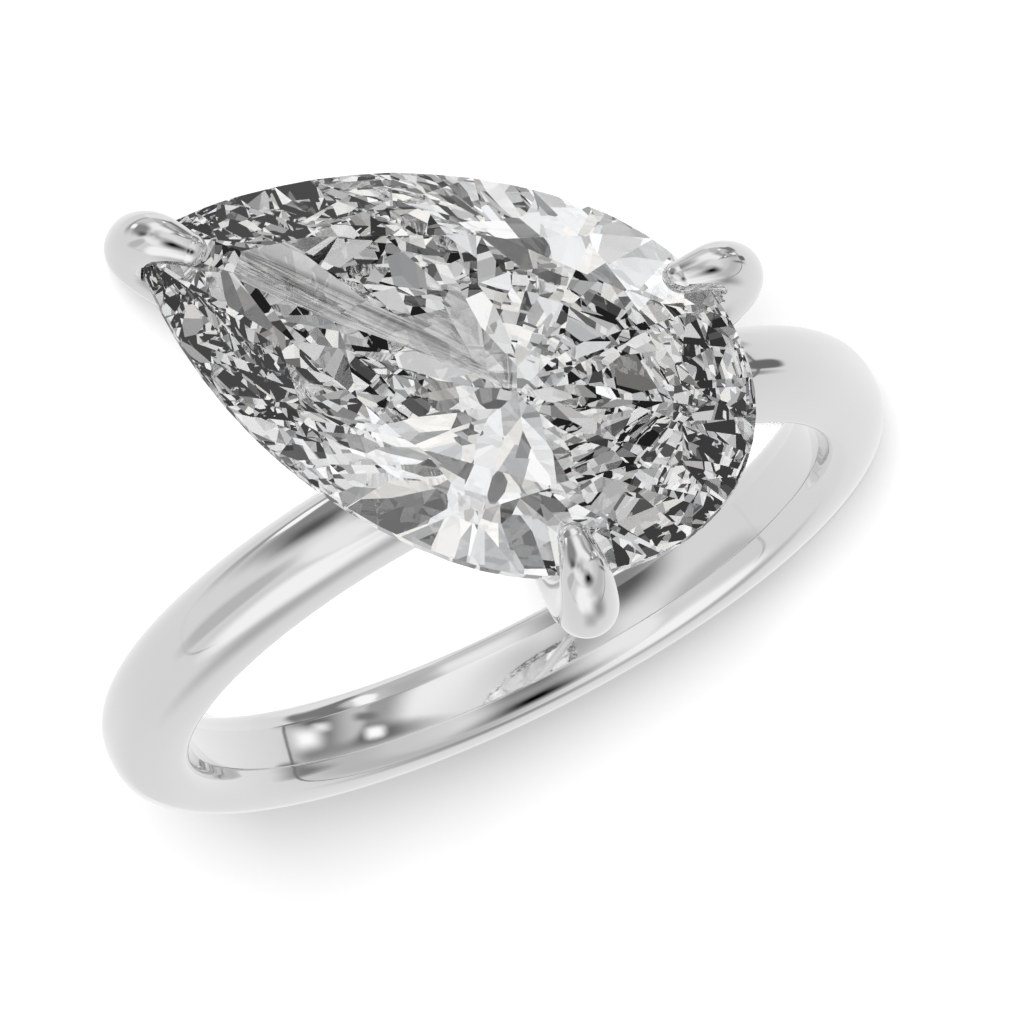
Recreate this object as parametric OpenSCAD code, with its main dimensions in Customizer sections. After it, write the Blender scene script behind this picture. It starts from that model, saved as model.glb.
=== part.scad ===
// Solitaire ring: a half-round band, three claws and a pear cut stone set across it.
// It lies on its side, on the claw at the stone's point and the back edge of the band.
// Before it is laid down, its finger hole runs along Y, the stone is up and the centre is the origin.

/* [Band] */
// Inside diameter, a finger size
finger_d = 16.5; // [14:0.1:21]
// Thickness of the metal from the finger to the outside
band_t = 1.85; // [1.6:0.05:2.2]
// Width of the band along the finger
band_w = 2.25; // [1.9:0.05:3]
// Width of the straight wall inside, between the rounded edges
wall_w = 1.02; // [0.7:0.02:1.2]

/* [Stone] */
// Length of the stone from its point to its round end
stone_l = 15.25; // [14:0.05:16]
// Width of the stone
stone_w = 9.3; // [8.8:0.05:10]
// Angle that the stone is turned across the band
stone_turn = 46; // [40:1:50]
// Height of the girdle's middle over the wall of the finger hole
girdle_rise = 5.05; // [4.9:0.05:5.6]
// Thickness of the girdle where it is thinnest
girdle_t = 0.24; // [0.2:0.02:0.36]
// Depth from the girdle to the culet
pavilion_h = 3.7; // [3.5:0.05:3.8]
// Height of the table over the girdle
crown_h = 1.2; // [1:0.05:1.3]
// Slope of the crown's main facets
crown_slope = 34; // [31:1:37]

/* [Claws] */
// Radius of a claw's wire where it passes the girdle
claw_r = 0.7; // [0.6:0.02:0.76]
// Angle of the back claw from the stone's round end
back_claw = 49; // [45:1:56]
// Angle of the front claw from the stone's round end
front_claw = 53; // [45:1:56]
// Clearance between the metal and the stone
seat_gap = 0.04; // [0.03:0.01:0.06]

/* [Hidden] */
$fn = 96;
finger_r = finger_d / 2;
girdle_z = finger_r + girdle_rise;
girdle_top = girdle_z + girdle_t / 2;
girdle_low = girdle_z - girdle_t / 2;
culet_z = girdle_low - pavilion_h;
table_z = girdle_top + crown_h;
// Turns that lay the ring down, and the shift that sets it on the floor over the origin
lay_back = -80.93;
lay_side = 14.04;
lay_shift = [0, -2.826, 3.704];

// Share of the band's thickness at which it is widest, and how full its outside is
widest_at = 0.295;
fullness = 2.47;
// Radius and turn of the small round at the edge of the inside wall
rim_r = 0.2;
rim_turn = 22;
// How far the flank's curve leaves the small round, and how far it meets the widest place, straight
flank_from = 0.27;
flank_to = 0.38;

// Share of the stone's length from its point to its widest place
widest_share = 0.63;
point_l = stone_l * widest_share;
round_l = stone_l - point_l;
half_w = stone_w / 2;
wing_r = (point_l ^ 2 + half_w ^ 2) / stone_w;
tip_turn = 90 + asin(point_l / wing_r);
// Larger than the stone every way, for the blocks that its facets are cut with
block = 40;

// Directions that the main facets face, counted from the round end
main_turns = [0, 36, 72, 100, 124, 180, 236, 260, 288, 324];
// Slopes of the crown's other facets, and of the one over the point
star_slope = 21.5;
half_slope = 38;
point_slope = 25;
// Distance of a star facet's upper edge from the outline
star_inset = crown_h / tan(crown_slope) + 0.2;
// How much deeper than the culet the pavilion's lesser facets aim
low_half_aim = 1.018;
low_edge_aim = 1.078;
// Depth on the axis and slope of the small facets round the culet, as shares of a main facet's
tip_aims = [[0.965, 0.88], [0.976, 0.93], [0.985, 0.96]];
// How far from the direction of the point the lesser facets keep
point_clear = 30;

// Sides and steps of a claw's wire
wire_sides = 14;
wire_steps = 4;
// Where the wire passes the girdle, out from the stone's edge, at the sides and at the point
side_lean = 0.68;
point_lean = -0.12;
// How far the back claw's tip is bent to the side
back_sway = 0.25;

// Distance from the stone's axis to the upright plane that faces turn and touches the outline
function reach(turn) =
    let (t = min(turn, 360 - turn))
    t < 90 ? norm([round_l * cos(t), half_w * sin(t)])
    : t < tip_turn ? wing_r - (wing_r - half_w) * sin(t)
    : -point_l * cos(t);

// Distance from the stone's axis to the edge of its round end, in the direction turn
function edge_at(turn) = round_l * half_w / norm([half_w * cos(turn), round_l * sin(turn)]);

// Directions the given share of the way from each main facet to the next, but for those near the point
function between(share) = [
    for (i = [0 : len(main_turns) - 1])
        let (
            a = main_turns[i],
            b = i + 1 < len(main_turns) ? main_turns[i + 1] : 360,
            t = a + (b - a) * share
        )
        if (abs(t - 180) > point_clear) t
];

// The stone's outline from its point, along one wing, round the end and back
function outline() =
    let (
        wing = [for (i = [0 : 11]) let (t = tip_turn - i / 12 * (tip_turn - 90))
            [wing_r * cos(t), wing_r * sin(t) - wing_r + half_w]],
        end = [for (t = [90 : -7.5 : -90]) [round_l * cos(t), half_w * sin(t)]],
        back = [for (i = [11 : -1 : 1]) [wing[i].x, -wing[i].y]]
    )
    concat(wing, end, back);

// The band's section, as distance from the finger's axis and place along it
function band_section() =
    let (
        bulge = band_t * (1 - widest_at),
        outside = [for (t = [0 : 10 : 180])
            let (c = cos(t))
            [finger_r + band_t * widest_at + bulge * sin(t) ^ (2 / fullness),
             sign(c) * band_w / 2 * abs(c) ^ (2 / fullness)]],
        corner = [for (t = [0 : rim_turn / 2 : rim_turn])
            [finger_r + rim_r * (1 - cos(t)), wall_w / 2 + rim_r * sin(t)]],
        start = corner[len(corner) - 1],
        end = [finger_r + band_t * widest_at, band_w / 2],
        leave = start + flank_from * [sin(rim_turn), cos(rim_turn)],
        flank = [for (s = [0.8, 0.6, 0.4, 0.2])
            start * (1 - s) ^ 3 + 3 * leave * s * (1 - s) ^ 2
            + 3 * (end - [flank_to, 0]) * s ^ 2 * (1 - s) + end * s ^ 3],
        inside = concat(flank, [for (i = [len(corner) - 1 : -1 : 0]) corner[i]])
    )
    concat(
        outside,
        [for (p = inside) [p.x, -p.y]],
        [for (i = [len(inside) - 1 : -1 : 0]) inside[i]]
    );

// A point of the smooth curve through the rows of a table, at place t counted in rows
function along(rows, t) =
    let (
        last = len(rows) - 1,
        i = min(floor(t), last - 1),
        f = t - i,
        a = rows[max(i - 1, 0)],
        b = rows[i],
        c = rows[i + 1],
        d = rows[min(i + 2, last)]
    )
    (2 * b + (c - a) * f + (2 * a - 5 * b + 4 * c - d) * f ^ 2 + (3 * b - a - 3 * c + d) * f ^ 3) / 2;

// A claw's path: distance out, height, radius of the wire and distance to the side in each row
function claw_path(edge, lean, sway) =
    let (
        rise = girdle_low - culet_z,
        out = edge + lean,
        top = girdle_top
    )
    [
        [0.9, finger_r + 1, claw_r * 0.86, 0],
        [0.45 * out, culet_z + 0.45 * rise - 0.85, claw_r * 0.94, 0],
        [0.8 * out, culet_z + 0.8 * rise - 0.95, claw_r * 1.04, 0],
        [out - 0.2, girdle_low - 0.6, claw_r * 1.08, 0],
        [out, girdle_z + 0.2, claw_r, 0],
        [out - 0.45, top + 0.8, claw_r * 0.86, 0.4 * sway],
        [out - 1.28, top + 0.84, claw_r * 0.58, sway]
    ];

// Facets, cut by keeping what lies under or over a sloped plane through the line out, up
module under(turn, out, up, slope) {
    rotate(turn) translate([out, 0, up]) rotate([0, slope, 0])
        translate([-block / 2, -block / 2, -block]) cube(block);
}

module over(turn, out, up, slope) {
    rotate(turn) translate([out, 0, up]) rotate([0, -slope, 0])
        translate([-block / 2, -block / 2, 0]) cube(block);
}

// A small facet near the culet, with its depth on the axis and its slope as shares in aim
module tip_facet(turn, aim) {
    over(turn, 0, girdle_low - aim[0] * pavilion_h, atan(aim[1] * pavilion_h / reach(turn)));
}

// The stone on its own axis, grown by more on every side, with all its facets or the main ones
module cut_stone(more, all_facets) {
    low = girdle_low - more;
    deep = pavilion_h + more;
    intersection() {
        translate([0, 0, culet_z - 2 * more])
            linear_extrude(table_z - culet_z + 3 * more) grown_outline(more);
        intersection_for (t = main_turns)
            under(t, reach(t) + more, girdle_top + more, t == 180 ? point_slope : crown_slope);
        intersection_for (t = main_turns)
            over(t, reach(t) + more, low, atan(deep / (reach(t) + more)));
        if (all_facets) lesser_facets();
    }
}

// The room between the planes of the stars, the halves and the facets round the culet
module lesser_facets() {
    quarters = concat(between(0.25), between(0.75));
    intersection() {
        intersection_for (t = between(0.5))
            under(t, reach(t) - star_inset, table_z, star_slope);
        intersection_for (t = quarters)
            under(t, reach(t), girdle_top, half_slope);
        intersection_for (t = quarters)
            over(t, reach(t), girdle_low, atan(low_half_aim * pavilion_h / reach(t)));
        intersection_for (t = between(0.5))
            over(t, reach(t), girdle_low, atan(low_edge_aim * pavilion_h / reach(t)));
        intersection_for (t = between(0.5)) tip_facet(t, tip_aims[0]);
        intersection_for (t = quarters) tip_facet(t, tip_aims[1]);
        intersection_for (t = main_turns) tip_facet(t, tip_aims[2]);
    }
}

// The outline grown by more, taken as the same outline on slightly larger sizes
module grown_outline(more) {
    scale(1 + more / half_w) polygon(outline());
}

module band() {
    rotate([90, 0, 0]) rotate_extrude() polygon(band_section());
}

// A wire swept along its path with a round end
module claw(turn, edge, lean, sway) {
    rows = claw_path(edge, lean, sway);
    last = len(rows) - 1;
    path = [for (k = [0 : last * wire_steps]) along(rows, k / wire_steps)];
    n = len(path);
    tip = path[n - 1];
    ahead = unit(tip - path[n - 2]);
    round_end = [for (a = [30, 60, 80])
        let (on = tip + ahead * tip[2] * sin(a))
        [on[0], on[1], tip[2] * cos(a), on[3]]];
    rings = concat(path, round_end);
    m = len(rings);
    points = [
        for (k = [0 : m - 1])
            let (dir = k < n - 1 ? unit(path[min(k + 1, n - 1)] - path[max(k - 1, 0)]) : ahead)
            for (s = [0 : wire_sides - 1])
                let (a = 360 * s / wire_sides, r = rings[k][2])
                [rings[k][0] - dir.y * r * cos(a), rings[k][3] + r * sin(a), rings[k][1] + dir.x * r * cos(a)]
    ];
    walls = [
        for (k = [0 : m - 2], s = [0 : wire_sides - 1])
            let (t = (s + 1) % wire_sides, p = k * wire_sides, q = p + wire_sides)
            each [[p + s, q + t, q + s], [p + s, p + t, q + t]]
    ];
    base = [for (s = [wire_sides - 1 : -1 : 0]) s];
    cap = [for (s = [0 : wire_sides - 1]) (m - 1) * wire_sides + s];
    rotate(turn) polyhedron(points, concat(walls, [base, cap]));
}

// A step along a claw's path, taken for each millimetre that it goes in the claw's plane
function unit(v) = v / norm([v[0], v[1]]);

// Lays the upright ring on its side
module lying() {
    translate(lay_shift) rotate([lay_back, lay_side, 0]) children();
}

module setting() {
    color("gainsboro") lying() difference() {
        union() {
            band();
            rotate(-stone_turn) {
                claw(180, point_l, point_lean, 0);
                claw(back_claw, edge_at(back_claw), side_lean, back_sway);
                claw(-front_claw, edge_at(front_claw), side_lean, 0);
            }
        }
        rotate(-stone_turn) cut_stone(seat_gap, false);
    }
}

module stone() {
    color("lightgrey") lying() rotate(-stone_turn) cut_stone(0, true);
}

setting();
stone();
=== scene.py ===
from math import asin, atan, cos, degrees, hypot, radians, sin, tan

import bmesh
import bpy
from mathutils import Matrix, Vector


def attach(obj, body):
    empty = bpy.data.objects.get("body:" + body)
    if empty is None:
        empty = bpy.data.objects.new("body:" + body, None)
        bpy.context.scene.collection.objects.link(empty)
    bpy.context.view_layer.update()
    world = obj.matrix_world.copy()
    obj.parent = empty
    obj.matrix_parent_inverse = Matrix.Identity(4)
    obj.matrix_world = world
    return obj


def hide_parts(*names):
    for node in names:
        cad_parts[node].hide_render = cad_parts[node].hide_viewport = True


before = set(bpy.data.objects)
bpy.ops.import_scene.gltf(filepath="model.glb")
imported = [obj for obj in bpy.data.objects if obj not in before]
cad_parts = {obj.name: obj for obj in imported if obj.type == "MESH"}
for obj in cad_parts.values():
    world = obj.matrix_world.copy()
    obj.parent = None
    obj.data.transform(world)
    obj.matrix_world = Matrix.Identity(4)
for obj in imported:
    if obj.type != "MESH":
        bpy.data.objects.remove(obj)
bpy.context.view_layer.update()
scene = bpy.context.scene
print("frame loaded")

# The upright ring, in mm: finger hole along Y, stone up, centre at the origin.
# These turns and this shift lay it on its side, as in the solids.
ringLay = {"back": -80.93, "side": 14.04, "shift": (0, -2.826, 3.704)}
lay = Matrix.Rotation(radians(ringLay["side"]), 4, "Y") @ Matrix.Rotation(radians(ringLay["back"]), 4, "X")
lay.translation = Vector(ringLay["shift"])
toRow = Matrix.Scale(0.001, 4) @ lay  # upright mm to lying metres
turnOnly = lay.to_3x3()

# Camera: the photo's angle to the ring, from far off
cameraSpot = {
    "right": (0.8995, -0.4347, 0.0448),  # the picture's right and up, in the upright ring's axes
    "up": (0.3974, 0.8563, 0.3297),
    "away": 800,       # mm from the ring's centre
    "aside": 0.4427,   # the middle of the picture lies this far right of the centre, in mm
    "above": 1.393,
    "lens": 1188.8, "sensor": 36,
    "clip": (0.1, 20),
}


def buildCamera(spot):
    right = Vector(spot["right"]).normalized()
    up = Vector(spot["up"])
    up = (up - right * up.dot(right)).normalized()
    toward = right.cross(up)
    place = toward * spot["away"] + right * spot["aside"] + up * spot["above"]
    data = bpy.data.cameras.new("camera")
    data.lens, data.sensor_width = spot["lens"], spot["sensor"]
    data.clip_start, data.clip_end = spot["clip"]
    cam = bpy.data.objects.new("camera", data)
    scene.collection.objects.link(cam)
    turn = Matrix((turnOnly @ right, turnOnly @ up, turnOnly @ toward)).transposed().to_4x4()
    cam.matrix_world = Matrix.Translation(toRow @ place) @ turn
    scene.camera = cam


buildCamera(cameraSpot)
print("camera set")


def newPiece(name, bm, smooth):
    bmesh.ops.recalc_face_normals(bm, faces=bm.faces)
    mesh = bpy.data.meshes.new(name)
    bm.to_mesh(mesh)
    bm.free()
    for face in mesh.polygons:
        face.use_smooth = smooth
    piece = bpy.data.objects.new(name, mesh)
    scene.collection.objects.link(piece)
    return piece


# Stone: a pear outline cut by the planes of its facets. Directions are in degrees from the round end.
stoneCut = {
    "long": 15.25, "wide": 9.3, "turn": 46,
    "girdleZ": 13.3, "girdle": 0.24, "pavilion": 3.7, "crown": 1.2,
    "widestShare": 0.63,  # how far along from the point the stone is widest
    "wingSteps": 12, "endSteps": 24,
    "mains": (0, 36, 72, 100, 124, 180, 236, 260, 288, 324),
    "crownSlope": 34, "pointSlope": 25, "starSlope": 21.5, "halfSlope": 38, "starInset": 0.2,
    "lowHalf": 1.018, "lowEdge": 1.078,  # how much steeper than the mains the lesser facets below are
    "pointClear": 30,  # lesser facets keep this far from the point
    # depth and slope of the three rows of facets round the culet
    "tipAims": ((0.965, 0.88), (0.976, 0.93), (0.985, 0.96)),
    "keelCuts": ((162, 1.06), (198, 1.06), (171, 1.035), (189, 1.035)),  # direction and slope
}
pointLong = stoneCut["long"] * stoneCut["widestShare"]
roundLong = stoneCut["long"] - pointLong
halfWide = stoneCut["wide"] / 2
wingRadius = (pointLong ** 2 + halfWide ** 2) / stoneCut["wide"]
tipTurn = 90 + degrees(asin(pointLong / wingRadius))
girdleTop = stoneCut["girdleZ"] + stoneCut["girdle"] / 2
girdleLow = stoneCut["girdleZ"] - stoneCut["girdle"] / 2
culetZ = girdleLow - stoneCut["pavilion"]
tableZ = girdleTop + stoneCut["crown"]


def reach(turn):  # how far out the outline goes in a direction
    turn = turn % 360
    turn = min(turn, 360 - turn)
    t = radians(turn)
    if turn < 90:
        return hypot(roundLong * cos(t), halfWide * sin(t))
    if turn < tipTurn:
        return wingRadius - (wingRadius - halfWide) * sin(t)
    return -pointLong * cos(t)


def edgeAt(turn):  # distance from the middle to the edge of the round end
    t = radians(turn)
    return roundLong * halfWide / hypot(halfWide * cos(t), roundLong * sin(t))


def lowSlope(turn, share):  # slope from the girdle to the culet, made steeper or flatter
    return degrees(atan(share * stoneCut["pavilion"] / reach(turn)))


def between(share):  # part of the way from each main facet to the next, but not near the point
    turns = stoneCut["mains"]
    spots = [a + (b - a) * share for a, b in zip(turns, turns[1:] + (360,))]
    return [t for t in spots if abs(t - 180) > stoneCut["pointClear"]]


def outline(grow):
    wing, end = [], []
    for i in range(stoneCut["wingSteps"]):
        t = radians(tipTurn - i / stoneCut["wingSteps"] * (tipTurn - 90))
        wing.append((wingRadius * cos(t), wingRadius * sin(t) - wingRadius + halfWide))
    for i in range(stoneCut["endSteps"] + 1):
        t = radians(90 - 180 * i / stoneCut["endSteps"])
        end.append((roundLong * cos(t), halfWide * sin(t)))
    back = [(x, -y) for x, y in reversed(wing[1:])]
    size = 1 + grow / halfWide
    return [(x * size, y * size) for x, y in wing + end + back]


def cutFacet(bm, turn, out, up, slope, below):
    t, s = radians(turn), radians(slope)
    side = Vector((sin(s) * cos(t), sin(s) * sin(t), -cos(s) if below else cos(s)))
    cut = bmesh.ops.bisect_plane(
        bm, geom=bm.verts[:] + bm.edges[:] + bm.faces[:], dist=1e-6,
        plane_co=(out * cos(t), out * sin(t), up), plane_no=side, clear_outer=True)
    rim = [e for e in cut["geom_cut"] if isinstance(e, bmesh.types.BMEdge) and e.is_boundary]
    if len(rim) > 2:
        bmesh.ops.contextual_create(bm, geom=rim)


def mainCuts(grow):
    cuts = []
    deep = stoneCut["pavilion"] + grow
    for t in stoneCut["mains"]:
        out = reach(t) + grow
        slope = stoneCut["pointSlope"] if t == 180 else stoneCut["crownSlope"]
        cuts.append((t, out, girdleTop + grow, slope, False))
        cuts.append((t, out, girdleLow - grow, degrees(atan(deep / out)), True))
    return cuts


def lesserCuts():
    cuts = []
    halves = between(0.25) + between(0.75)
    inset = stoneCut["crown"] / tan(radians(stoneCut["crownSlope"])) + stoneCut["starInset"]
    for t in between(0.5):
        cuts.append((t, reach(t) - inset, tableZ, stoneCut["starSlope"], False))
    for t in halves:
        cuts.append((t, reach(t), girdleTop, stoneCut["halfSlope"], False))
        cuts.append((t, reach(t), girdleLow, lowSlope(t, stoneCut["lowHalf"]), True))
    for t in between(0.5):
        cuts.append((t, reach(t), girdleLow, lowSlope(t, stoneCut["lowEdge"]), True))
    for t, share in stoneCut["keelCuts"]:
        cuts.append((t, reach(t), girdleLow, lowSlope(t, share), True))
    for turns, (aim, share) in zip((between(0.5), halves, stoneCut["mains"]), stoneCut["tipAims"]):
        for t in turns:
            cuts.append((t, 0, girdleLow - aim * stoneCut["pavilion"], lowSlope(t, share), True))
    return cuts


def cutStone(grow, allFacets):
    bm = bmesh.new()
    low, high = culetZ - 2 * grow, tableZ + grow
    floorFace = bm.faces.new([bm.verts.new((x, y, low)) for x, y in outline(grow)])
    raised = bmesh.ops.extrude_face_region(bm, geom=[floorFace])
    corners = [v for v in raised["geom"] if isinstance(v, bmesh.types.BMVert)]
    bmesh.ops.translate(bm, vec=(0, 0, high - low), verts=corners)
    for cut in mainCuts(grow) + (lesserCuts() if allFacets else []):
        cutFacet(bm, *cut)
    place = toRow @ Matrix.Rotation(radians(-stoneCut["turn"]), 4, "Z")
    bmesh.ops.transform(bm, matrix=place, verts=bm.verts)
    return bm


# Setting: band and claws, joined and cut to seat the stone
bandForm = {
    "fingerR": 8.25, "thick": 1.85, "wide": 2.25, "wall": 1.02,
    "dome": 5.8,                         # the wall bulges this gently towards the finger
    "rim": 0.2, "rimTurn": 22,           # the small round between the wall and the flank
    "flankFrom": 0.27, "flankTo": 0.38,  # how far the flank keeps the direction of each of its ends
    "widestAt": 0.295, "fullness": 2.47,
    "around": 360, "backSteps": 48, "rimSteps": 6, "flankSteps": 12, "wallSteps": 10,
}
clawForm = {
    "wire": 0.7, "lean": 0.68, "pointLean": -0.12,
    "back": 49, "front": 53, "sway": 0.25,
    "sides": 48, "steps": 14, "tipSteps": 12, "seatGap": 0.04, "sharpFrom": 32,
    # The wire's route. The third number of a place is the thickness there against "wire".
    "foot": (0.9, 1, 0.86),                           # distance out and height over the finger
    "under": ((0.45, 0.85, 0.94), (0.8, 0.95, 1.04)),  # share of the way out, distance below the stone
    "bend": (0.2, 0.6, 1.08),                         # inward of the outermost place, below the girdle
    "outermost": 0.2,                                 # height over the girdle's middle
    "over": ((0.45, 0.8, 0.86, 0.4), (1.28, 0.84, 0.58, 1)),  # inward, over the girdle, and sway
}


def bandSection(form):
    inner, halfWall = form["fingerR"], form["wall"] / 2
    widest = form["thick"] * form["widestAt"]
    bulge = form["thick"] - widest
    power = 2 / form["fullness"]
    half = form["wide"] / 2
    outside = []
    for i in range(form["backSteps"] + 1):
        t = radians(180 * i / form["backSteps"])
        c = cos(t)
        across = half * abs(c) ** power * (1 if c > 0 else -1)
        outside.append((inner + widest + bulge * max(sin(t), 0) ** power, across))
    rim, rimTurn = form["rim"], radians(form["rimTurn"])
    lean = asin(halfWall / form["dome"])
    edge = inner + form["dome"] * (1 - cos(lean))
    corner = []
    for k in range(form["rimSteps"], -1, -1):
        t = lean + (rimTurn - lean) * k / form["rimSteps"]
        corner.append(Vector((edge + rim * (cos(lean) - cos(t)), halfWall + rim * (sin(t) - sin(lean)))))
    start, end = corner[0], Vector((inner + widest, half))
    a = start + Vector((sin(rimTurn), cos(rimTurn))) * form["flankFrom"]
    b = end - Vector((form["flankTo"], 0))
    flank = []
    for i in range(form["flankSteps"] - 1, 0, -1):
        s = i / form["flankSteps"]
        r = 1 - s
        flank.append(start * r ** 3 + a * 3 * s * r ** 2 + b * 3 * s ** 2 * r + end * s ** 3)
    upper = [(p.x, p.y) for p in flank + corner]  # from the widest place to the wall
    lower = [(x, -y) for x, y in reversed(upper)]
    wall = []
    for k in range(1, form["wallSteps"]):
        t = lean * (1 - 2 * k / form["wallSteps"])
        wall.append((inner + form["dome"] * (1 - cos(t)), form["dome"] * sin(t)))
    return list(reversed(outside)) + upper + wall + lower


def bandMesh(form):
    bm = bmesh.new()
    section = bandSection(form)
    rings = []
    for k in range(form["around"]):
        t = radians(360 * k / form["around"])
        rings.append([bm.verts.new((r * cos(t), y, r * sin(t))) for r, y in section])
    count = len(section)
    for k in range(form["around"]):
        one, two = rings[k], rings[(k + 1) % form["around"]]
        for i in range(count):
            bm.faces.new((one[i], one[(i + 1) % count], two[(i + 1) % count], two[i]))
    bmesh.ops.transform(bm, matrix=toRow, verts=bm.verts)
    return bm


def clawRows(edge, lean, sway):  # distance out, height, wire radius and distance to the side
    wire, rise, out = clawForm["wire"], girdleLow - culetZ, edge + lean
    inward, up, thick = clawForm["foot"]
    rows = [(inward, bandForm["fingerR"] + up, wire * thick, 0)]
    for part, below, thick in clawForm["under"]:
        rows.append((part * out, culetZ + part * rise - below, wire * thick, 0))
    inward, below, thick = clawForm["bend"]
    rows.append((out - inward, girdleLow - below, wire * thick, 0))
    rows.append((out, stoneCut["girdleZ"] + clawForm["outermost"], wire, 0))
    for inward, above, thick, part in clawForm["over"]:
        rows.append((out - inward, girdleTop + above, wire * thick, part * sway))
    return [Vector(row) for row in rows]


def along(rows, t):  # smooth curve through the rows
    last = len(rows) - 1
    i = min(int(t), last - 1)
    f = t - i
    a, b, c, d = rows[max(i - 1, 0)], rows[i], rows[i + 1], rows[min(i + 2, last)]
    bend, twist = 2 * a - 5 * b + 4 * c - d, 3 * b - a - 3 * c + d
    return (2 * b + (c - a) * f + bend * f ** 2 + twist * f ** 3) / 2


def clawStations(rows):  # places along the wire and over its rounded tip, with the direction at each
    path = [along(rows, k / clawForm["steps"]) for k in range((len(rows) - 1) * clawForm["steps"] + 1)]
    last = len(path) - 1
    stations = []
    for k, p in enumerate(path):
        way = path[min(k + 1, last)] - path[max(k - 1, 0)]
        stations.append((p[0], p[1], p[2], p[3], way / hypot(way[0], way[1])))
    tip, aim = path[last], path[last] - path[last - 1]
    ahead = aim / hypot(aim[0], aim[1])
    for k in range(1, clawForm["tipSteps"]):
        a = radians(90 * k / clawForm["tipSteps"])
        on = tip + ahead * tip[2] * sin(a)
        stations.append((on[0], on[1], tip[2] * cos(a), on[3], ahead))
    return stations


def clawMesh(turn, edge, lean, sway):
    sides = clawForm["sides"]
    bm = bmesh.new()
    rings = []
    for out, up, wire, aside, way in clawStations(clawRows(edge, lean, sway)):
        ring = []
        for s in range(sides):
            a = radians(360 * s / sides)
            lift = wire * cos(a)
            ring.append(bm.verts.new((out - way[1] * lift, aside + wire * sin(a), up + way[0] * lift)))
        rings.append(ring)
    for one, two in zip(rings, rings[1:]):
        for s in range(sides):
            t = (s + 1) % sides
            bm.faces.new((one[s], one[t], two[t], two[s]))
    bm.faces.new(rings[0])
    bm.faces.new(rings[-1])
    place = toRow @ Matrix.Rotation(radians(turn - stoneCut["turn"]), 4, "Z")
    bmesh.ops.transform(bm, matrix=place, verts=bm.verts)
    return bm


def joinSolid(base, tool, how):
    step = base.modifiers.new(how.lower(), "BOOLEAN")
    step.operation, step.solver, step.object = how, "EXACT", tool
    made = bpy.data.meshes.new_from_object(base.evaluated_get(bpy.context.evaluated_depsgraph_get()))
    base.modifiers.clear()
    base.data = made
    bpy.data.objects.remove(tool)


def buildSetting():
    setting = newPiece("ring_setting", bandMesh(bandForm), True)
    back, front = clawForm["back"], clawForm["front"]
    spots = (
        ("point_claw", 180, pointLong, clawForm["pointLean"], 0),
        ("back_claw", back, edgeAt(back), clawForm["lean"], clawForm["sway"]),
        ("front_claw", -front, edgeAt(front), clawForm["lean"], 0),
    )
    for name, turn, edge, lean, sway in spots:
        joinSolid(setting, newPiece(name, clawMesh(turn, edge, lean, sway), True), "UNION")
    joinSolid(setting, newPiece("seat", cutStone(clawForm["seatGap"], False), False), "DIFFERENCE")
    setting.data.set_sharp_from_angle(angle=radians(clawForm["sharpFrom"]))
    return setting


# Helpers for nodes
def feed(tree, node, values):
    for socket, value in zip(node.inputs, values):
        if isinstance(value, bpy.types.NodeSocket):
            tree.links.new(value, socket)
        elif value is not None:
            socket.default_value = value


def maths(tree, operation, *values):
    node = tree.nodes.new("ShaderNodeMath")
    node.operation = operation
    feed(tree, node, values)
    return node.outputs[0]


def mixTo(tree, factor, one, two):
    node = tree.nodes.new("ShaderNodeMix")
    node.data_type = "RGBA"
    for key, value in (("Factor", factor), ("A", one), ("B", two)):
        socket = [s for s in node.inputs if s.name == key and s.enabled][0]
        if isinstance(value, bpy.types.NodeSocket):
            tree.links.new(value, socket)
        else:
            socket.default_value = value
    return [s for s in node.outputs if s.enabled][0]


def noise(tree, spot, scale, detail):
    node = tree.nodes.new("ShaderNodeTexNoise")
    tree.links.new(spot, node.inputs["Vector"])
    node.inputs["Scale"].default_value = scale
    node.inputs["Detail"].default_value = detail
    return node.outputs[0]


def multiply(tree, colour, tint):
    node = tree.nodes.new("ShaderNodeVectorMath")
    node.operation = "MULTIPLY"
    feed(tree, node, (colour, tint if isinstance(tint, bpy.types.NodeSocket) else tint[:3]))
    return node.outputs[0]


def grey(value):
    return (value, value, value, 1)


def ramp(tree, factor, stops):
    node = tree.nodes.new("ShaderNodeValToRGB")
    tree.links.new(factor, node.inputs["Fac"])
    points = node.color_ramp.elements
    while len(points) < len(stops):
        points.new(0.5)
    for point, (place, colour) in zip(points, stops):
        point.position = place
        point.color = colour if isinstance(colour, tuple) else grey(colour)
    return node.outputs["Color"]


def principled(name, values):
    mat = bpy.data.materials.new(name)
    mat.use_nodes = True
    shader = mat.node_tree.nodes["Principled BSDF"]
    for key, value in values.items():
        shader.inputs[key].default_value = value
    return mat, mat.node_tree, shader


# Materials
metalFinish = {
    "tone": ((0.0, 0.90), (1.0, 0.95)),
    "polish": (0.025, 0.06),  # roughness where the buffing is brightest and dullest
    "cloud": 260, "cloudDetail": 3,
    "hairline": 2600, "hairDetail": 2, "hairDepth": 0.000002, "hairStrength": 0.25,
}
stoneFinish = {
    "index": 2.417,
    "body": ((0.3, (1, 1, 1, 1)), (0.7, (0.985, 0.985, 0.98, 1))),
    "drift": 330, "driftDetail": 2,
}


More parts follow.
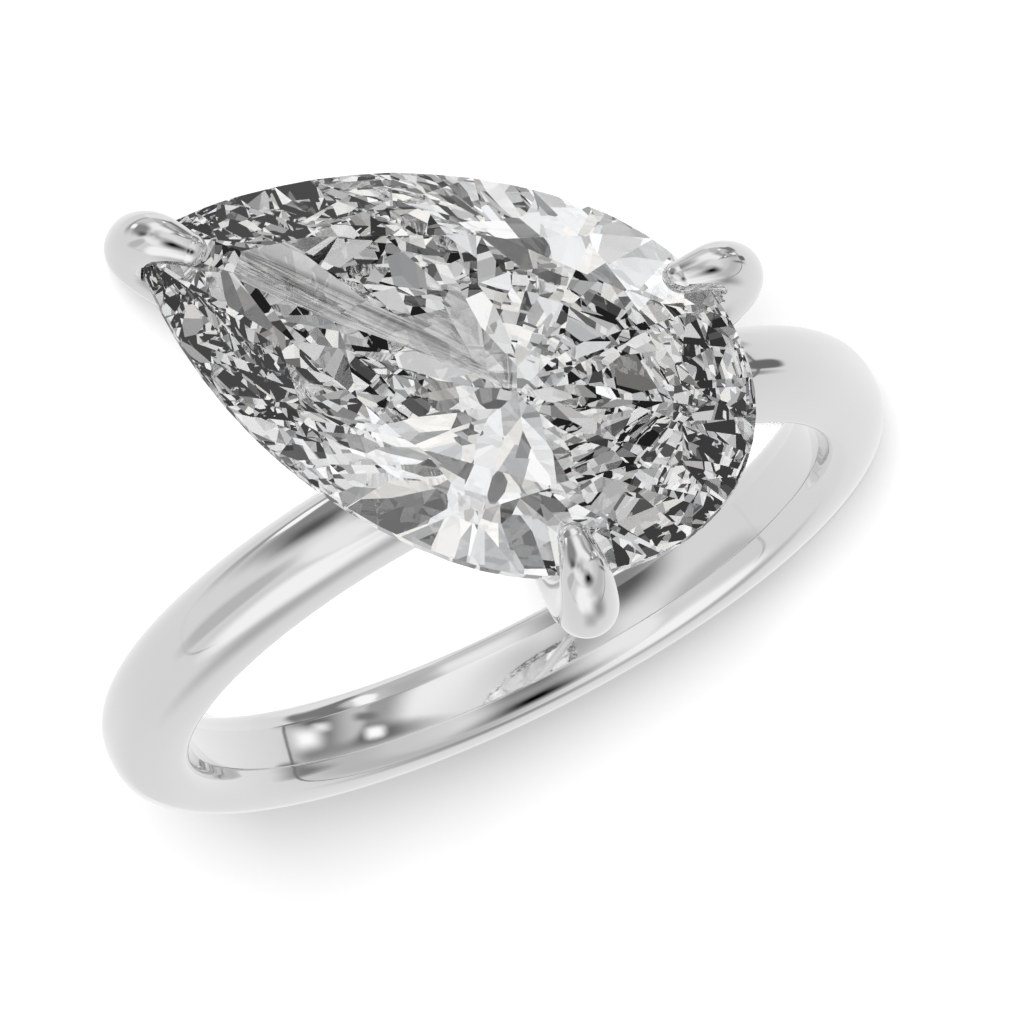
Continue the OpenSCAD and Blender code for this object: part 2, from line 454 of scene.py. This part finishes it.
def metalMaterial():
    mat, tree, shader = principled("polished_white_metal", {"Metallic": 1})
    spot = tree.nodes.new("ShaderNodeTexCoord").outputs["Object"]
    cloud = noise(tree, spot, metalFinish["cloud"], metalFinish["cloudDetail"])
    tree.links.new(ramp(tree, cloud, metalFinish["tone"]), shader.inputs["Base Color"])
    low, high = metalFinish["polish"]
    tree.links.new(maths(tree, "MULTIPLY_ADD", cloud, high - low, low), shader.inputs["Roughness"])
    hairs = noise(tree, spot, metalFinish["hairline"], metalFinish["hairDetail"])
    bump = tree.nodes.new("ShaderNodeBump")
    bump.inputs["Strength"].default_value = metalFinish["hairStrength"]
    bump.inputs["Distance"].default_value = metalFinish["hairDepth"]
    tree.links.new(hairs, bump.inputs["Height"])
    tree.links.new(bump.outputs["Normal"], shader.inputs["Normal"])
    return mat


def gemMaterial():
    mat, tree, shader = principled("cut_diamond", {
        "Metallic": 0, "Roughness": 0, "IOR": stoneFinish["index"], "Transmission Weight": 1})
    spot = tree.nodes.new("ShaderNodeTexCoord").outputs["Object"]
    drift = noise(tree, spot, stoneFinish["drift"], stoneFinish["driftDetail"])
    tree.links.new(ramp(tree, drift, stoneFinish["body"]), shader.inputs["Base Color"])
    return mat


setting = buildSetting()
setting.data.materials.clear()
setting.data.materials.append(metalMaterial())
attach(setting, "root")
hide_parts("setting")
print("setting built")

stone = newPiece("pear_stone", cutStone(0, True), False)
stone.data.materials.append(gemMaterial())
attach(stone, "root")
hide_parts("stone")
stone.visible_shadow = stone.visible_diffuse = False  # so clear a stone lets the light through
print("stone built", len(stone.data.polygons), "facets")

# Studio: what the metal mirrors. Left, right, far and near are as the camera sees them.
studio = {
    "horizonTilt": 7.5,
    # height over the tilted horizon in degrees, and brightness; the floor ends in a thin dark line
    "backdrop": ((-90, 0.74), (-8, 0.69), (-5.6, 0.69), (-5.2, 0.16), (-4.2, 0.16), (-3.8, 0.60),
                 (20, 0.58), (40, 0.62), (60, 0.76), (90, 0.72)),
    # Azimuth and elevation seen from the upright ring, half width, half height, blur, brightness.
    # Each card hangs in front of the ones above it. These numbers came from another program's
    # least-squares fit to the tones of the metal in the photo, and were then rounded. The names
    # only say where a card hangs and how bright it is.
    "cards": {
        "pale below": (59, -80, 80, 50, 0.95, 0.9),
        "grey left": (158, 14, 45, 60, 0.8, 0.7),
        "pale far, high": (58, 48, 46, 19, 0.45, 0.9),
        "dark far left": (125, 29, 23, 22, 0.5, 0.25),
        "black left, high": (148, 35, 10, 12, 0.8, 0.1),
        "pale near left, high": (208, 44, 40, 11, 0.35, 0.85),
        "tall grey left, low": (177, 9, 10, 22, 0.3, 0.5),
        "black far, at the horizon": (102, -4, 25, 5, 0.95, 0.1),
        "pale far, under the horizon": (83, -14, 40, 12, 0.3, 0.7),
        "white near": (242, 7, 37, 26, 0.25, 0.95),
        "black near, high": (264, 56, 27, 15, 0.9, 0),
        "grey left, overhead": (151, 62, 15, 9, 0.95, 0.4),
        "dark near right, under the horizon": (279, -10, 18, 17, 0.95, 0.3),
        "grey near, under the horizon": (252, -30, 15, 15, 0.95, 0.45),
        "dark right, at the horizon": (3, 0, 7, 7, 0.25, 0.15),
        "grey overhead": (188, 74, 80, 8, 0.95, 0.45),
        "dark far right, at the horizon": (44, 2.5, 19, 9, 0.25, 0.2),
        "tall grey far": (64, 3, 9, 30, 0.2, 0.5),
        "pale far, low": (61, -10, 18, 15, 0.15, 0.8),
        "dark far right, high": (35, 35, 25, 12, 0.5, 0.35),
        "tall black far right": (15, 35, 5, 20, 0.95, 0.1),
        "grey far right": (30, 23, 17, 12, 0.15, 0.55),
        "small dark far right": (25, 35, 2, 4, 0.65, 0.2),
        "black far right, low": (20, 16, 11, 8, 0.95, 0.1),
        "grey near right": (311, 23, 52, 11, 0.55, 0.5),
        "lamp far right, low": (17.5, 11.5, 3.5, 5.5, 0.85, 1.05),
        "small lamp far right": (21.5, 18, 1.5, 3, 0.95, 0.85),
        "lamp far right, high": (16, 38.5, 3, 3.5, 0.65, 1.05),
        "lamp far": (51, 18, 2.5, 4.5, 0.35, 1),
        "lamp far left": (117.5, 7, 7.5, 6, 0.3, 1),
        "tall dark right": (349.5, 10.5, 3.5, 12, 0.8, 0.2),
    },
    # what the flat facets of the stone mirror: a weaker studio, the dark over the table and a lamp
    "stoneVeil": 0.5,
    "stoneCards": {"black far, overhead": (57, 71, 30, 9, 0.5, 0.08), "lamp": (38, 6, 13, 12, 0.6, 1.1)},
}

# What shows through the stone: cells of light and dark, as its many facets would gather them
stoneStudio = {
    "cells": 5.5, "cellReach": 0.75, "shift": (-2.5, 2.0, 2.9),
    "drift": 2.4, "driftDetail": 2, "driftReach": 1.6,
    "underside": (-25, 15, -0.15),  # darker by the third below the first elevation, and not over the second
    "greys": ((0.0, 0.05), (0.18, 0.1), (0.32, 0.34), (0.5, 0.72), (0.65, 0.98), (1.0, 1.25)),
    "tints": ((0.0, (0.95, 0.975, 1, 1)), (0.4, grey(1)), (0.65, grey(1)), (1.0, (1, 0.975, 0.92, 1))),
}


def cardGroup():  # mask of a soft-edged card in the studio, by its direction
    group = bpy.data.node_groups.new("studioCard", "ShaderNodeTree")
    names = ("Azimuth", "Elevation", "At azimuth", "At elevation", "Half width", "Half height", "Blur")
    for name in names:
        group.interface.new_socket(name, in_out="INPUT", socket_type="NodeSocketFloat")
    group.interface.new_socket("Mask", in_out="OUTPUT", socket_type="NodeSocketFloat")
    given = group.nodes.new("NodeGroupInput").outputs
    swing = maths(group, "SUBTRACT", given["Azimuth"], given["At azimuth"])
    swing = maths(group, "WRAP", swing, 180.0, -180.0)
    across = maths(group, "DIVIDE", maths(group, "ABSOLUTE", swing), given["Half width"])
    rise = maths(group, "ABSOLUTE", maths(group, "SUBTRACT", given["Elevation"], given["At elevation"]))
    rise = maths(group, "DIVIDE", rise, given["Half height"])
    far = maths(group, "ADD", maths(group, "POWER", across, 3.0), maths(group, "POWER", rise, 3.0))
    far = maths(group, "POWER", far, 1 / 3)
    fade = group.nodes.new("ShaderNodeMapRange")
    fade.interpolation_type = "SMOOTHSTEP"
    group.links.new(far, fade.inputs["Value"])
    group.links.new(maths(group, "SUBTRACT", 1.0, given["Blur"]), fade.inputs["From Min"])
    group.links.new(maths(group, "ADD", 1.0, given["Blur"]), fade.inputs["From Max"])
    fade.inputs["To Min"].default_value = 1
    fade.inputs["To Max"].default_value = 0
    group.links.new(fade.outputs[0], group.nodes.new("NodeGroupOutput").inputs["Mask"])
    return group


def glow(tree, colour):
    node = tree.nodes.new("ShaderNodeBackground")
    feed(tree, node, (colour, 1.0))
    return node.outputs[0]


def ringDirection(tree):  # the three parts of the direction, as the upright ring has it
    view = tree.nodes.new("ShaderNodeTexCoord").outputs["Generated"]
    parts = []
    for axis in ((1, 0, 0), (0, 1, 0), (0, 0, 1)):
        node = tree.nodes.new("ShaderNodeVectorMath")
        node.operation = "DOT_PRODUCT"
        feed(tree, node, (view, turnOnly @ Vector(axis)))
        parts.append(node.outputs["Value"])
    return parts


def backdrop(tree, parts):
    tilt = radians(studio["horizonTilt"])
    height = maths(tree, "MULTIPLY_ADD", parts[2], cos(tilt), maths(tree, "MULTIPLY", parts[0], -sin(tilt)))
    height = maths(tree, "DEGREES", maths(tree, "ARCSINE", height))
    stops = [(0.5 + up / 180, bright) for up, bright in studio["backdrop"]]
    return ramp(tree, maths(tree, "MULTIPLY_ADD", height, 1 / 180, 0.5), stops)


def gatheredLight(tree, parts, elevation):
    toRing = tree.nodes.new("ShaderNodeCombineXYZ")
    feed(tree, toRing, parts)
    moved = tree.nodes.new("ShaderNodeVectorMath")
    feed(tree, moved, (toRing.outputs[0], stoneStudio["shift"]))
    cells = tree.nodes.new("ShaderNodeTexVoronoi")
    tree.links.new(moved.outputs[0], cells.inputs["Vector"])
    cells.inputs["Scale"].default_value = stoneStudio["cells"]
    shade = tree.nodes.new("ShaderNodeSeparateColor")
    tree.links.new(cells.outputs["Color"], shade.inputs[0])
    drift = noise(tree, moved.outputs[0], stoneStudio["drift"], stoneStudio["driftDetail"])
    swing, cell = stoneStudio["driftReach"], stoneStudio["cellReach"]
    slide = maths(tree, "MULTIPLY_ADD", drift, swing, -swing / 2)
    level = maths(tree, "MULTIPLY_ADD", shade.outputs[0], cell, maths(tree, "ADD", slide, (1 - cell) / 2))
    low, high, darker = stoneStudio["underside"]
    under = tree.nodes.new("ShaderNodeMapRange")
    under.interpolation_type = "SMOOTHSTEP"
    feed(tree, under, (elevation, low, high, darker, 0.0))
    greys = ramp(tree, maths(tree, "ADD", level, under.outputs[0]), stoneStudio["greys"])
    return multiply(tree, greys, ramp(tree, shade.outputs[1], stoneStudio["tints"]))


def buildWorld():
    world = bpy.data.worlds.new("studio")
    scene.world = world
    world.use_nodes = True
    tree = world.node_tree
    parts = ringDirection(tree)
    azimuth = maths(tree, "DEGREES", maths(tree, "ARCTAN2", parts[1], parts[0]))
    elevation = maths(tree, "DEGREES", maths(tree, "ARCSINE", parts[2]))
    group = cardGroup()

    def hang(behind, cards):
        for spot in cards.values():
            card = tree.nodes.new("ShaderNodeGroup")
            card.node_tree = group
            feed(tree, card, [azimuth, elevation] + [float(part) for part in spot[:5]])
            behind = mixTo(tree, card.outputs["Mask"], behind, grey(spot[5]))
        return behind

    mirrored = hang(backdrop(tree, parts), studio["cards"])
    inStone = hang(multiply(tree, mirrored, grey(studio["stoneVeil"])), studio["stoneCards"])
    path = tree.nodes.new("ShaderNodeLightPath").outputs
    shown = glow(tree, mixTo(tree, path["Is Singular Ray"], mirrored, inStone))
    others = (
        ("Is Transmission Ray", gatheredLight(tree, parts, elevation)),
        ("Is Diffuse Ray", grey(keyLight["fill"])),
        ("Is Camera Ray", grey(1.0)),
    )
    for ray, colour in others:
        both = tree.nodes.new("ShaderNodeMixShader")
        feed(tree, both, (path[ray], shown, glow(tree, colour)))
        shown = both.outputs[0]
    tree.links.new(shown, tree.nodes["World Output"].inputs["Surface"])
    world.cycles.sampling_method = "NONE"  # an even light, found without aiming at it


# Lights of the floor; the metal and stone mirror the studio alone
keyLight = {
    "from": (-0.0544, 0.1404, 0.9886),  # right, up and towards the camera, as the camera sees it
    "strength": 7.0, "spread": 18,
    "fill": 0.6,
}
holeLamps = {
    # right and up of the ring's centre as the camera sees it, in mm
    "over": ((6.6, 3), (6.3, 2.7), (-6, -2.9), (-4.6, -2.4),
             (-3.6, -0.8), (-2.4, -1.4), (-1.6, 0), (-0.2, -0.4)),
    "away": 60, "spread": 3.2, "strength": 0.2, "radius": 0.0015,
}
floorForm = {"radius": 3, "sides": 96, "tone": 0.95, "roughness": 0.9}


def newLight(name, kind, strength):
    data = bpy.data.lights.new(name, kind)
    data.energy = strength
    light = bpy.data.objects.new(name, data)
    scene.collection.objects.link(light)
    light.visible_camera = light.visible_glossy = light.visible_transmission = False
    return light


def buildKey():
    key = newLight("key", "SUN", keyLight["strength"])
    key.data.angle = radians(keyLight["spread"])
    aim = scene.camera.matrix_world.to_3x3() @ Vector(keyLight["from"])
    key.rotation_euler = aim.to_track_quat("Z", "Y").to_euler()


def buildHoleLamps():  # keep the floor white where it shows through the finger hole
    seat = scene.camera.matrix_world.to_3x3()
    for right, up in holeLamps["over"]:
        lamp = newLight("hole_lamp", "SPOT", holeLamps["strength"])
        lamp.data.spot_size, lamp.data.spot_blend = radians(holeLamps["spread"]), 1
        lamp.data.shadow_soft_size = holeLamps["radius"]
        place = toRow.translation + seat @ Vector((right, up, holeLamps["away"])) * 0.001
        lamp.matrix_world = Matrix.Translation(place) @ seat.to_4x4()


def buildFloor():
    bm = bmesh.new()
    bmesh.ops.create_circle(bm, cap_ends=True, radius=floorForm["radius"], segments=floorForm["sides"])
    floor = newPiece("floor", bm, False)
    finish = {"Base Color": grey(floorForm["tone"]), "Roughness": floorForm["roughness"]}
    floor.data.materials.append(principled("pale_floor", finish)[0])
    floor.visible_glossy = floor.visible_transmission = False  # the studio has its own lower half


buildFloor()
buildWorld()
buildKey()
buildHoleLamps()
bounces = {"all": 24, "throughStone": 24, "offMetal": 12}
scene.view_settings.view_transform = "Standard"
scene.cycles.max_bounces = bounces["all"]
scene.cycles.transmission_bounces = bounces["throughStone"]
scene.cycles.glossy_bounces = bounces["offMetal"]
print("stage built")
